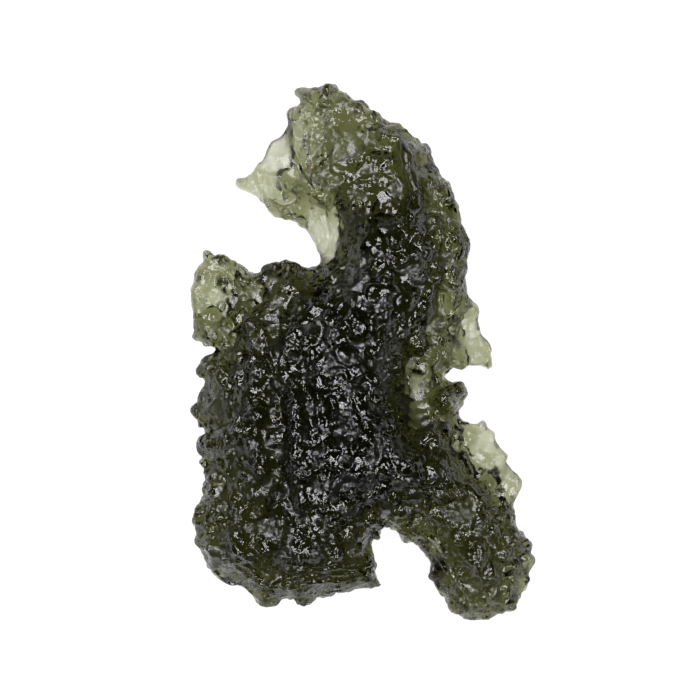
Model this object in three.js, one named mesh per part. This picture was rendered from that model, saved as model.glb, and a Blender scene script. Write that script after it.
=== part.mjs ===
// A moldavite: one piece of natural green glass, etched all over, lying flat on a small worn spot.
// Millimetres, +Z up. Seen from above, +Y points to the stone's top knob and +X to its right horn.
import * as THREE from "three";

// Overall size and how the stone lies.
const LENGTH = 33.3;
const MIDDLE_HEIGHT = 3.5;
const THINNEST_GLASS = 0.55;

// How far the bend reaches where a face passes into the thinnest glass.
const THINNEST_BEND = 0.3;

// The rim: its height in thin sheets and in full parts, how far its arrises are drawn in, the share of that
// and of the height at its middle rings, and how far its outermost line wanders up and down with the bowls.
const EDGE_THICKNESS = { sheet: 0.6, full: 2.5 };
const ARRIS_INSET = 0.2;
const WALL_RING = { inset: 0.25, rise: 0.6 };
const RIM_WANDER = 0.7;

// The shoulder that rounds from the rim into each face, and the slow swelling behind it.
const SHOULDER = { reach: 1.0, sheet: 0.12, full: 0.42 };
const SWELLING = { reach: 3.8, power: 0.85 };

// Distance between neighbouring vertices.
const RIM_STEP = 0.42;
const TOP_STEP = 0.46;
const UNDER_STEP = 0.68;
const STEP_JITTER = 0.15;
const ROW_FACTOR = Math.sqrt(0.75);
const PLACE_SEEDS = { top: 5, under: 17 };
const RIM_CLEARANCE = 0.72;

// Etched bowls: pitch of their lattice, smallest and largest radius, and depth.
const TOP_BOWLS = { pitch: 1.9, radii: [1.0, 1.7], depths: [0.25, 0.62], stretch: 1.5, seed: 11 };
const UNDER_BOWLS = { pitch: 2.5, radii: [1.3, 2.1], depths: [0.35, 0.7], stretch: 1.4, seed: 29 };
const BOWL_SHARE_AT_RIM = 0.3;
const BOWL_SHARE_IN_SHEETS = 0.22;
const BOWL_FADE = 1.3;

// A named hollow reaches this many times its radii squared. Flow stretches blend over this squared distance.
const HOLLOW_REACH = 2.2;
const FLOW_BLEND = 0.5;

// Size of the triangle that the triangulation starts from, in stone lengths.
const OUTER_TRIANGLE = 100;

// Each random number is the last one times the factor plus the step, within the range.
const RANDOM = { factor: 1664525, step: 1013904223, range: 4294967296 };

// The worn spot that the stone rests on.
const REST = { at: [-1.0, -3.0], radii: [3.6, 4.6], fade: [0.8, 1.3] };

// The rim as seen from above, clockwise from the hollow beside the top knob.
const RIM = [
  // Top knob and the dome's right flank.
  [-4.0, 15.65], [-4.25, 16.15], [-3.95, 16.5], [-3.5, 16.6], [-3.0, 16.35], [-2.05, 16.75], [-1.4, 16.4],
  [-0.9, 16.25], [-0.5, 15.85], [0.55, 15.3], [1.6, 14.55], [2.2, 14.3], [2.65, 13.85], [3.5, 13.3],
  [4.1, 12.8], [4.5, 11.55], [5.5, 10.45], [5.98, 9.0], [6.1, 8.4], [6.5, 7.5], [6.8, 6.9], [6.6, 6.0],
  [6.58, 5.2], [6.4, 4.6], [6.4, 4.0], [6.75, 3.25],
  // Right horn and the slit below it.
  [7.27, 2.85], [7.25, 2.0], [7.5, 1.15], [7.8, 0.85], [8.07, 0.3], [8.1, -0.4], [7.93, -1.0],
  [7.6, -0.9], [7.0, -0.84], [6.66, -0.83], [6.33, -1.04], [5.57, -1.01], [5.21, -1.31], [5.3, -1.66],
  // Dark bump and the thin right lobe.
  [6.04, -1.71], [6.35, -2.09], [6.47, -2.3], [6.28, -3.16], [6.1, -3.58], [6.21, -4.11], [6.55, -4.3],
  [6.94, -4.41], [7.39, -4.22], [7.67, -4.3], [7.79, -4.58], [8.26, -5.01], [8.32, -5.46], [8.66, -5.93],
  [9.06, -6.38], [9.03, -6.8], [9.46, -7.34], [9.77, -7.65], [9.93, -8.2], [9.84, -8.66],
  // Right leg, round its end and up its inner side.
  [9.48, -9.33], [9.36, -9.8], [9.55, -10.6], [10.08, -11.36], [10.45, -11.68], [10.58, -12.06],
  [10.58, -12.49], [10.75, -12.84], [10.71, -13.1], [10.54, -13.45], [10.42, -14.03], [10.25, -14.61],
  [9.84, -15.34], [9.49, -15.66], [9.3, -16.03], [8.85, -16.02], [8.65, -16.3], [7.98, -16.62], [7.3, -16.7],
  [6.18, -16.44], [5.51, -16.09], [5.3, -15.75], [5.25, -15.22], [4.64, -14.88], [4.38, -14.5],
  [4.06, -14.03], [4.15, -13.4], [4.06, -12.9], [3.68, -12.46], [3.5, -12.05], [3.04, -11.85],
  // Bottom notch and the spur.
  [2.71, -11.83], [2.2, -11.32], [1.42, -10.75], [1.08, -11.13], [1.0, -11.55], [0.66, -11.6],
  [0.5, -12.14], [0.83, -12.98], [0.89, -13.71], [1.14, -14.48], [0.75, -14.61],
  // Bottom edge, to the round heel at the left.
  [0.41, -14.69], [-0.1, -14.66], [-0.6, -14.88], [-2.0, -15.1], [-2.73, -15.19], [-3.06, -15.44],
  [-4.11, -15.7], [-4.37, -15.48], [-4.8, -15.43], [-5.4, -15.77], [-6.3, -15.82], [-7.28, -14.84],
  [-7.53, -14.63], [-8.49, -14.5], [-9.24, -13.77], [-9.52, -13.69], [-9.92, -13.13], [-10.11, -12.6],
  [-10.45, -11.9], [-10.42, -11.36], [-10.67, -10.72], [-10.39, -9.62],
  // Left edge with its spikes, up to the left lobe.
  [-10.08, -9.06], [-10.03, -8.4], [-9.85, -7.9], [-10.0, -7.29], [-10.28, -6.87], [-10.0, -6.54],
  [-10.21, -6.03], [-10.21, -5.5], [-9.8, -5.0], [-10.0, -4.66], [-10.18, -4.58], [-10.22, -4.18],
  [-10.48, -3.85], [-10.64, -3.51], [-10.2, -3.05], [-10.08, -2.5], [-9.93, -1.94], [-10.41, -1.2],
  [-10.31, -0.88], [-9.86, -0.2], [-9.41, 0.0], [-9.33, 0.24], [-9.8, 0.5], [-10.35, 0.75], [-10.55, 1.0],
  [-10.65, 2.5], [-10.78, 3.3], [-10.75, 4.05], [-10.5, 4.5], [-10.3, 5.4], [-10.05, 5.7], [-9.85, 6.35],
  [-9.6, 6.35], [-9.4, 6.15], [-8.2, 5.85],
  // Left notch.
  [-7.4, 5.3], [-6.8, 5.05], [-6.35, 5.05], [-5.7, 5.65], [-4.3, 5.68], [-3.25, 5.25], [-2.8, 5.6],
  [-2.72, 6.0], [-3.1, 7.05], [-3.4, 7.5], [-4.1, 7.95], [-4.5, 8.3], [-5.0, 8.35], [-6.2, 9.25],
  [-6.5, 9.65], [-7.3, 10.0],
  // Left horn and the fin above it.
  [-7.85, 10.25], [-7.95, 10.7], [-7.75, 10.95], [-7.1, 11.05], [-6.6, 11.8], [-6.3, 12.05], [-5.6, 13.2],
  [-5.15, 13.5], [-4.65, 14.4], [-4.6, 15.0],
];

// Broad swellings of the upper face above the middle surface.
const UPPER_MOUNDS = [
  { name: "whole face", at: [0, -1], radii: [30, 30], height: 0.75 },
  { name: "dome", at: [1.6, 8.2], radii: [3.8, 6.0], height: 1.4 },
  { name: "belly", at: [-1.8, -6.4], radii: [5.0, 6.8], height: 2.5 },
  { name: "saddle", at: [-0.4, 1.6], radii: [4.4, 4.0], height: 1.2 },
  { name: "left shoulder", at: [-7.2, -4.2], radii: [2.7, 4.8], height: 1.2 },
  { name: "heel", at: [-8.0, -11.8], radii: [2.4, 2.4], height: 0.9 },
  { name: "leg", at: [7.2, -12.8], radii: [2.3, 3.6], height: 1.1 },
  { name: "knee", at: [3.2, -7.4], radii: [2.6, 2.9], height: 1.0 },
  { name: "bottom", at: [-3.4, -13.0], radii: [4.4, 2.2], height: 0.9 },
];

// Broad swellings of the underside below the middle surface.
const LOWER_MOUNDS = [
  { name: "whole face", at: [0, -1], radii: [30, 30], height: 0.55 },
  { name: "keel", at: REST.at, radii: [6.8, 8.6], height: 1.45 },
  { name: "under the dome", at: [1.6, 8.6], radii: [3.0, 4.6], height: 0.6 },
  { name: "under the leg", at: [6.4, -12.2], radii: [2.4, 3.2], height: 0.4 },
  { name: "under the bottom", at: [-3.4, -13.0], radii: [4.4, 2.2], height: 0.4 },
  { name: "under the heel", at: [-7.0, -11.4], radii: [2.6, 2.6], height: 0.3 },
];

// Thin sheets, where the two faces lack this share of their swelling.
const THIN_SHEETS = [
  { name: "fin", at: [-5.6, 12.6], radii: [2.5, 3.6], share: 0.97 },
  { name: "left horn", at: [-6.6, 10.3], radii: [2.0, 1.1], share: 0.55 },
  { name: "scoop by the notch", at: [-2.3, 7.3], radii: [1.8, 2.3], share: 0.95 },
  { name: "left lobe", at: [-9.3, 3.4], radii: [1.9, 2.7], share: 0.66 },
  { name: "right horn", at: [7.0, 0.9], radii: [1.8, 2.4], share: 0.92 },
  { name: "right lobe", at: [7.6, -5.6], radii: [2.2, 2.6], share: 0.88 },
  { name: "lower part of the lobe", at: [9.2, -8.0], radii: [1.3, 1.6], share: 0.7 },
  { name: "inner edge of the leg", at: [4.2, -13.6], radii: [1.0, 2.3], share: 0.7 },
  { name: "outer rim of the leg", at: [10.5, -13.4], radii: [0.9, 1.6], share: 0.7 },
  { name: "heel sheet", at: [-8.4, -14.2], radii: [1.0, 0.7], share: 0.85 },
  { name: "left rim", at: [-10.0, -1.9], radii: [0.8, 1.0], share: 0.6 },
  { name: "upper dome", at: [0.0, 12.4], radii: [3.6, 4.4], share: 0.32 },
  { name: "around the olive pane", at: [2.9, -2.0], radii: [1.3, 2.8], share: 0.6 },
];

// Slow bends of the middle surface.
const BENDS = [
  { name: "fin lifts", at: [-6.0, 12.0], radii: [3.5, 4.5], height: 0.7 },
  { name: "right horn droops", at: [7.6, 0.8], radii: [2.6, 2.6], height: -0.7 },
  { name: "leg end droops", at: [7.6, -16.0], radii: [4.0, 4.0], height: -0.4 },
  { name: "left lobe lifts", at: [-10.0, 3.4], radii: [3.0, 3.4], height: 0.5 },
  { name: "heel droops", at: [-9.4, -13.0], radii: [3.6, 3.6], height: -0.4 },
];

// Hollows and lumps that stand out on the upper face. A calm one has no small bowls in it.
const HOLLOWS = [
  { name: "white scoop by the notch", at: [-2.55, 7.6], radii: [1.25, 1.9], depth: 1.7, calm: 0.9 },
  { name: "hollow inside the crescent", at: [1.8, 9.6], radii: [1.1, 1.5], depth: 0.75, calm: 0.4 },
  { name: "upper window", at: [-0.9, 13.0], radii: [1.2, 1.2], depth: 0.3, calm: 0.9 },
  { name: "fin face", at: [-5.0, 12.7], radii: [1.7, 2.6], depth: 0.3, calm: 0.9 },
  { name: "fin knob", at: [-3.6, 16.0], radii: [0.7, 0.6], depth: -0.45, calm: 0.3 },
  { name: "left lobe bowl", at: [-8.2, 3.4], radii: [1.5, 1.3], depth: 0.75, calm: 0.7 },
  { name: "pale blob", at: [-9.4, 1.9], radii: [0.7, 0.6], depth: -0.4, calm: 0.5 },
  { name: "left pane", at: [-5.5, 2.9], radii: [0.7, 2.0], depth: 0.55, calm: 0.8 },
  { name: "triangle pane", at: [-5.3, 0.2], radii: [0.8, 0.9], depth: 0.4, calm: 0.9 },
  { name: "olive pane", at: [3.2, -2.8], radii: [0.95, 2.1], depth: 1.1, calm: 0.95 },
  { name: "right pane", at: [4.3, 2.4], radii: [0.7, 0.9], depth: 0.5, calm: 0.8 },
  { name: "horn face", at: [6.6, 0.4], radii: [1.1, 0.9], depth: 0.35, calm: 0.9 },
  { name: "dark bump", at: [5.75, -2.7], radii: [0.8, 1.2], depth: -0.9, calm: 0.4 },
  { name: "lobe sheet", at: [7.7, -5.4], radii: [1.2, 1.5], depth: 0.45, calm: 0.8 },
  { name: "oval pane", at: [-6.6, -8.8], radii: [0.8, 1.15], depth: 0.75, calm: 0.9 },
  { name: "lower pane", at: [-6.1, -10.9], radii: [1.0, 1.5], depth: 0.8, calm: 0.8 },
  { name: "bright flat", at: [-3.1, -5.3], radii: [0.8, 0.7], depth: 0.35, calm: 0.6 },
  { name: "heel cap", at: [-7.9, -12.4], radii: [1.4, 1.2], depth: -0.55, calm: 0.0 },
  { name: "heel sheet", at: [-8.1, -14.0], radii: [0.9, 0.6], depth: 0.3, calm: 0.9 },
  { name: "leg pane", at: [6.4, -10.1], radii: [0.9, 0.9], depth: 0.5, calm: 0.8 },
  { name: "left dip", at: [-8.7, -3.5], radii: [1.1, 0.9], depth: 0.65, calm: 0.8 },
];

// Long clefts and crests on the upper face: a height above zero is a crest.
const STROKES = [
  {
    name: "crescent crest",
    path: [[1.2, 13.5], [2.3, 13.0], [2.75, 11.6], [3.2, 9.8], [3.0, 8.2]],
    width: 0.75,
    height: 0.6,
  },
  { name: "foot of the fin", path: [[-3.6, 15.0], [-3.5, 12.6], [-3.2, 10.4]], width: 1.0, height: -0.2 },
  {
    name: "horn ledge",
    path: [[-6.6, 11.1], [-5.1, 10.8], [-4.0, 10.0], [-2.4, 9.5]],
    width: 0.7,
    height: 0.45,
  },
  { name: "first fold", path: [[3.9, 11.6], [4.4, 8.4], [4.3, 5.2]], width: 0.5, height: -0.4 },
  { name: "second fold", path: [[4.8, 10.0], [5.3, 7.4], [5.2, 4.6]], width: 0.5, height: -0.4 },
  { name: "side cleft", path: [[4.9, 3.6], [5.0, 2.2], [4.3, 1.6], [4.1, 0.1]], width: 0.65, height: -0.6 },
  { name: "side branch", path: [[5.0, 1.3], [5.8, 1.7], [6.5, 1.95]], width: 0.5, height: -0.35 },
  { name: "green groove", path: [[-5.4, -3.0], [-5.6, -5.4], [-5.4, -8.0]], width: 0.95, height: -0.6 },
  { name: "belly crest", path: [[-4.4, -2.6], [-3.9, -5.0], [-4.3, -7.6]], width: 0.7, height: 0.45 },
  { name: "lump row", path: [[-1.1, -2.0], [0.6, -4.4], [2.4, -7.3]], width: 0.9, height: 0.4 },
  { name: "leg crest", path: [[5.2, -6.9], [6.9, -8.6], [7.7, -10.4]], width: 0.75, height: 0.55 },
  {
    name: "edge of the leg band",
    path: [[3.6, -10.7], [5.0, -11.9], [6.0, -13.6], [6.9, -15.2]],
    width: 0.8,
    height: -0.35,
  },
  { name: "leg band", path: [[3.9, -11.2], [5.0, -12.8], [5.7, -15.0]], width: 0.9, height: 0.2 },
  {
    name: "heel cleft",
    path: [[-9.2, -11.0], [-8.2, -10.9], [-7.2, -11.2], [-6.5, -12.6], [-6.1, -13.6]],
    width: 0.6,
    height: -0.6,
  },
  {
    name: "bottom fold",
    path: [[-7.8, -13.5], [-6.4, -14.2], [-5.0, -14.7], [-3.0, -14.4]],
    width: 0.55,
    height: 0.4,
  },
];

// Middle of each stretch of the face where the etching ran one way, and that way in degrees from +X.
const FLOW = [
  { at: [5.0, 8.0], angle: 95 },
  { at: [-1.0, 11.0], angle: 60 },
  { at: [-5.5, 12.0], angle: 75 },
  { at: [-8.0, 3.0], angle: 110 },
  { at: [-5.0, -4.5], angle: 92 },
  { at: [1.0, -3.5], angle: -48 },
  { at: [5.0, -13.5], angle: -62 },
  { at: [8.0, -7.0], angle: -50 },
  { at: [-5.0, -14.0], angle: -20 },
  { at: [-2.0, -10.0], angle: 80 },
];

/** A repeatable source of numbers from 0 to 1. */
function randomSource(seed) {
  let state = seed;
  return () => {
    state = (state * RANDOM.factor + RANDOM.step) % RANDOM.range;
    return state / RANDOM.range;
  };
}

/** The curve through the rim points, sampled anticlockwise, with every rim point kept as a sample. */
function sampleRim() {
  const corners = RIM.map(([x, y]) => new THREE.Vector3(x, y, 0)).reverse();
  const curve = new THREE.CatmullRomCurve3(corners, true, "centripetal");
  const loop = [];
  corners.forEach((corner, i) => {
    const next = corners[(i + 1) % corners.length];
    const parts = Math.max(1, Math.round(corner.distanceTo(next) / RIM_STEP));
    for (let k = 0; k < parts; k++) {
      const p = curve.getPoint((i + k / parts) / corners.length);
      loop.push([p.x, p.y]);
    }
  });
  return loop;
}

/** The rim drawn in by one inset along the normal at each sample. */
function insetLoop(loop, inset) {
  return loop.map(([x, y], i) => {
    const before = loop.at(i - 1);
    const after = loop[(i + 1) % loop.length];
    const dx = after[0] - before[0];
    const dy = after[1] - before[1];
    const length = Math.hypot(dx, dy);
    return [x - (inset * dy) / length, y + (inset * dx) / length];
  });
}

/** Distance from a place to the stretch between two points. */
function distanceToStretch(x, y, a, b) {
  const dx = b[0] - a[0];
  const dy = b[1] - a[1];
  const along = ((x - a[0]) * dx + (y - a[1]) * dy) / (dx * dx + dy * dy);
  const t = THREE.MathUtils.clamp(along, 0, 1);
  return Math.hypot(x - a[0] - t * dx, y - a[1] - t * dy);
}

/** Distance from a place to a path, which is closed when it is a loop. */
function distanceToPath(x, y, path, closed) {
  let nearest = Infinity;
  const count = closed ? path.length : path.length - 1;
  for (let i = 0; i < count; i++) {
    nearest = Math.min(nearest, distanceToStretch(x, y, path[i], path[(i + 1) % path.length]));
  }
  return nearest;
}

/** Whether a place lies inside a loop, by counting crossings. */
function isInside(x, y, loop) {
  let inside = false;
  for (let i = 0, j = loop.length - 1; i < loop.length; j = i++) {
    const [xi, yi] = loop[i];
    const [xj, yj] = loop[j];
    if (yi > y !== yj > y && x < ((xj - xi) * (y - yi)) / (yj - yi) + xi) inside = !inside;
  }
  return inside;
}

/** Sum of smooth mounds at a place. */
function mounds(x, y, list) {
  return list.reduce((sum, mound) => {
    const u = (x - mound.at[0]) / mound.radii[0];
    const v = (y - mound.at[1]) / mound.radii[1];
    return sum + mound.height * Math.exp(-(u * u + v * v));
  }, 0);
}

/** The share of its swelling that a face keeps at a place: less in a thin sheet. */
function fullness(x, y) {
  return THIN_SHEETS.reduce((kept, { at, radii, share }) => {
    const u = (x - at[0]) / radii[0];
    const v = (y - at[1]) / radii[1];
    return kept * (1 - share * Math.exp(-(u * u + v * v)));
  }, 1);
}

/** Half the height of the rim at a place. */
function halfEdge(x, y) {
  return THREE.MathUtils.lerp(EDGE_THICKNESS.sheet, EDGE_THICKNESS.full, fullness(x, y)) / 2;
}

/** The way the etching ran at a place, blended from the nearby stretches, in radians. */
function flowAngle(x, y) {
  let c = 0;
  let s = 0;
  for (const { at, angle } of FLOW) {
    const weight = 1 / (FLOW_BLEND + (x - at[0]) ** 2 + (y - at[1]) ** 2) ** 2;
    const doubled = THREE.MathUtils.degToRad(2 * angle);
    c += weight * Math.cos(doubled);
    s += weight * Math.sin(doubled);
  }
  return Math.atan2(s, c) / 2;
}

/** Scattered bowls on a jittered lattice over the whole stone, each drawn out along the flow. */
function scatterBowls({ pitch, radii, depths, stretch, seed }) {
  const random = randomSource(seed);
  const bowls = [];
  const half = LENGTH / 2 + pitch;
  for (let y = -half; y < half; y += pitch * ROW_FACTOR) {
    for (let x = -half; x < half; x += pitch) {
      const bowl = {
        x: x + pitch * (random() - 0.5),
        y: y + pitch * (random() - 0.5),
        radius: THREE.MathUtils.lerp(radii[0], radii[1], random()),
        depth: THREE.MathUtils.lerp(depths[0], depths[1], random()),
        stretch: THREE.MathUtils.lerp(1, stretch, random()),
      };
      bowl.angle = flowAngle(bowl.x, bowl.y);
      bowls.push(bowl);
    }
  }
  return bowls;
}

/** Depth of the bowls at a place: the deepest one wins, which leaves sharp crests between them. */
function bowlDepth(x, y, bowls) {
  return bowls.reduce((deepest, bowl) => {
    const dx = x - bowl.x;
    const dy = y - bowl.y;
    const along = (dx * Math.cos(bowl.angle) + dy * Math.sin(bowl.angle)) / (bowl.radius * bowl.stretch);
    const across = (dy * Math.cos(bowl.angle) - dx * Math.sin(bowl.angle)) / bowl.radius;
    return Math.max(deepest, bowl.depth * (1 - along * along - across * across));
  }, 0);
}

/** How calm the face is at a place, from 0 in the open to 1 in a smooth pane. */
function calmness(x, y) {
  return HOLLOWS.reduce((calm, hollow) => {
    const u = (x - hollow.at[0]) / hollow.radii[0];
    const v = (y - hollow.at[1]) / hollow.radii[1];
    return Math.max(calm, hollow.calm * Math.exp(-((u * u + v * v) ** 2)));
  }, 0);
}

/** Height that the named hollows, clefts and crests add at a place of the upper face. */
function namedRelief(x, y) {
  let height = 0;
  for (const { at, radii, depth } of HOLLOWS) {
    const u = (x - at[0]) / radii[0];
    const v = (y - at[1]) / radii[1];
    height -= depth * Math.max(0, 1 - (u * u + v * v) / HOLLOW_REACH);
  }
  for (const { path, width, height: rise } of STROKES) {
    const share = distanceToPath(x, y, path, false) / width;
    height += rise * Math.max(0, 1 - share * share);
  }
  return height;
}

/** Height of the rounded shoulder between the rim and a face. */
function shoulder(x, y, distance) {
  const left = 1 - Math.min(distance / SHOULDER.reach, 1);
  return THREE.MathUtils.lerp(SHOULDER.sheet, SHOULDER.full, fullness(x, y)) * Math.sqrt(1 - left * left);
}

/** How far the faces have swelled from their rim value, where 1 is a thick part far from the rim. */
function swell(x, y, distance) {
  const left = 1 - Math.min(distance / SWELLING.reach, 1);
  return fullness(x, y) * (1 - left * left) ** SWELLING.power;
}

/** How much of the bowls' depth counts at a place: less near the rim and in thin sheets. */
function bowlShare(x, y, distance) {
  const inward = THREE.MathUtils.smoothstep(distance, 0, BOWL_FADE);
  const share = THREE.MathUtils.lerp(BOWL_SHARE_AT_RIM, 1, inward);
  return share * THREE.MathUtils.lerp(BOWL_SHARE_IN_SHEETS, 1, fullness(x, y));
}

const topBowls = scatterBowls(TOP_BOWLS);
const underBowls = scatterBowls(UNDER_BOWLS);

/** Height of the middle surface. */
function middleHeight(x, y) {
  return MIDDLE_HEIGHT + mounds(x, y, BENDS);
}

/** Height of the underside, cut off flat where it meets the surface that the stone rests on. */
function underHeight(x, y, distance) {
  const worn = Math.hypot((x - REST.at[0]) / REST.radii[0], (y - REST.at[1]) / REST.radii[1]);
  const sculpture = bowlShare(x, y, distance) * THREE.MathUtils.smoothstep(worn, ...REST.fade);
  const edge = middleHeight(x, y) - halfEdge(x, y) - shoulder(x, y, distance);
  const face = edge - mounds(x, y, LOWER_MOUNDS) * swell(x, y, distance);
  return Math.max(0, face + bowlDepth(x, y, underBowls) * sculpture);
}

/** Height of the upper face. */
function topHeight(x, y, distance) {
  const share = bowlShare(x, y, distance);
  const bowls = bowlDepth(x, y, topBowls) * share * (1 - calmness(x, y));
  const edge = middleHeight(x, y) + halfEdge(x, y) + shoulder(x, y, distance);
  const face = edge + mounds(x, y, UPPER_MOUNDS) * swell(x, y, distance);
  const floor = underHeight(x, y, distance) + THINNEST_GLASS;
  const above = face - bowls + namedRelief(x, y) * share - floor;
  return floor + (above + Math.hypot(above, THINNEST_BEND)) / 2;
}

/** Height of the rim's outermost line. */
function rimHeight(x, y) {
  const wander = RIM_WANDER * (bowlDepth(x, y, underBowls) - bowlDepth(x, y, topBowls)) * fullness(x, y);
  return (topHeight(x, y, 0) + underHeight(x, y, 0)) / 2 + wander;
}

/** Jittered hexagonal lattice of places inside a loop, kept clear of it. */
function fillLoop(loop, step, seed) {
  const random = randomSource(seed);
  const places = [];
  const half = LENGTH / 2 + step;
  let row = 0;
  for (let y = -half; y < half; y += step * ROW_FACTOR) {
    const shift = (row % 2) * step * 0.5;
    for (let x = -half + shift; x < half; x += step) {
      const px = x + step * STEP_JITTER * (2 * random() - 1);
      const py = y + step * STEP_JITTER * (2 * random() - 1);
      if (!isInside(px, py, loop)) continue;
      if (distanceToPath(px, py, loop, true) > step * RIM_CLEARANCE) places.push([px, py]);
    }
    row++;
  }
  return places;
}

/** Whether a place lies in the circle through a triangle's corners, which run anticlockwise. */
function inCircle(points, [a, b, c], x, y) {
  const [ax, ay] = [points[a][0] - x, points[a][1] - y];
  const [bx, by] = [points[b][0] - x, points[b][1] - y];
  const [cx, cy] = [points[c][0] - x, points[c][1] - y];
  const a2 = ax * ax + ay * ay;
  const b2 = bx * bx + by * by;
  const c2 = cx * cx + cy * cy;
  return a2 * (bx * cy - by * cx) - b2 * (ax * cy - ay * cx) + c2 * (ax * by - ay * bx) > 0;
}

/** Delaunay triangles of a set of places, by putting the places in one after another. */
function triangulate(places) {
  const far = OUTER_TRIANGLE * LENGTH;
  const points = [...places, [-far, -far], [far, -far], [0, far]];
  const count = places.length;
  let triangles = [[count, count + 1, count + 2]];
  for (let i = 0; i < count; i++) {
    const [x, y] = points[i];
    const edges = new Map();
    const kept = [];
    for (const triangle of triangles) {
      if (!inCircle(points, triangle, x, y)) {
        kept.push(triangle);
        continue;
      }
      for (let k = 0; k < 3; k++) {
        const [from, to] = [triangle[k], triangle[(k + 1) % 3]];
        if (!edges.delete(`${to} ${from}`)) edges.set(`${from} ${to}`, [from, to]);
      }
    }
    for (const [from, to] of edges.values()) kept.push([from, to, i]);
    triangles = kept;
  }
  return triangles.filter((triangle) => triangle.every((corner) => corner < count));
}

/** Triangles of one face: the ones inside the loop, whose edges must all be there. */
function faceTriangles(loop, places) {
  const points = [...loop, ...places];
  const inside = triangulate(points).filter((triangle) => {
    const x = (points[triangle[0]][0] + points[triangle[1]][0] + points[triangle[2]][0]) / 3;
    const y = (points[triangle[0]][1] + points[triangle[1]][1] + points[triangle[2]][1]) / 3;
    return isInside(x, y, loop);
  });
  const edges = new Set(inside.flatMap(([a, b, c]) => [`${a} ${b}`, `${b} ${c}`, `${c} ${a}`]));
  loop.forEach(([x, y], i) => {
    const edge = `${i} ${(i + 1) % loop.length}`;
    if (!edges.has(edge)) throw new Error(`rim edge missing at ${x.toFixed(2)}, ${y.toFixed(2)}`);
  });
  return inside;
}

/** The stone as one closed surface: upper face, rounded rim and underside. */
function stoneGeometry() {
  const rim = sampleRim();
  const wall = insetLoop(rim, ARRIS_INSET * WALL_RING.inset);
  const arris = insetLoop(rim, ARRIS_INSET);
  const topPlaces = fillLoop(arris, TOP_STEP, PLACE_SEEDS.top);
  const underPlaces = fillLoop(arris, UNDER_STEP, PLACE_SEEDS.under);
  const n = rim.length;
  const vertices = [];
  const faces = [];

  const middle = rim.map(([x, y]) => rimHeight(x, y));
  const top = arris.map(([x, y]) => topHeight(x, y, 0));
  const under = arris.map(([x, y]) => underHeight(x, y, 0));
  const rings = [
    arris.map(([x, y], i) => [x, y, top[i]]),
    wall.map(([x, y], i) => [x, y, THREE.MathUtils.lerp(middle[i], top[i], WALL_RING.rise)]),
    rim.map(([x, y], i) => [x, y, middle[i]]),
    wall.map(([x, y], i) => [x, y, THREE.MathUtils.lerp(middle[i], under[i], WALL_RING.rise)]),
    arris.map(([x, y], i) => [x, y, under[i]]),
  ];
  rings.forEach((ring, k) => {
    vertices.push(...ring);
    if (k === rings.length - 1) return;
    for (let i = 0; i < n; i++) {
      const j = (i + 1) % n;
      faces.push([(k + 1) * n + i, (k + 1) * n + j, k * n + j], [(k + 1) * n + i, k * n + j, k * n + i]);
    }
  });

  const topStart = vertices.length - n;
  for (const [x, y] of topPlaces) {
    vertices.push([x, y, topHeight(x, y, distanceToPath(x, y, rim, true))]);
  }
  for (const triangle of faceTriangles(arris, topPlaces)) {
    faces.push(triangle.map((corner) => (corner < n ? corner : topStart + corner)));
  }

  const lastRing = (rings.length - 1) * n;
  const underStart = vertices.length - n;
  for (const [x, y] of underPlaces) {
    vertices.push([x, y, underHeight(x, y, distanceToPath(x, y, rim, true))]);
  }
  for (const [a, b, c] of faceTriangles(arris, underPlaces)) {
    faces.push([a, c, b].map((corner) => (corner < n ? lastRing + corner : underStart + corner)));
  }

  const geometry = new THREE.BufferGeometry();
  geometry.setAttribute("position", new THREE.Float32BufferAttribute(vertices.flat(), 3));
  geometry.setIndex(faces.flat());
  return geometry;
}

/** Puts the middle of the footprint over the origin and scales the stone to its length. */
function settle(geometry) {
  geometry.computeBoundingBox();
  const { min, max } = geometry.boundingBox;
  geometry.translate(-(min.x + max.x) / 2, -(min.y + max.y) / 2, 0);
  const scale = LENGTH / (max.y - min.y);
  geometry.scale(scale, scale, scale);
  geometry.computeVertexNormals();
  return geometry;
}

const glass = new THREE.MeshStandardMaterial({ color: "#4c5236", roughness: 0.18, metalness: 0 });
const moldavite = new THREE.Mesh(settle(stoneGeometry()), glass);
moldavite.name = "moldavite";

const part = new THREE.Group();
part.add(moldavite);
export default part;
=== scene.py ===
"""The look of a moldavite: its etched skin, its see-through green glass, a light table, light, camera."""
import logging
import math
from dataclasses import dataclass
from enum import Enum
from typing import Any

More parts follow.
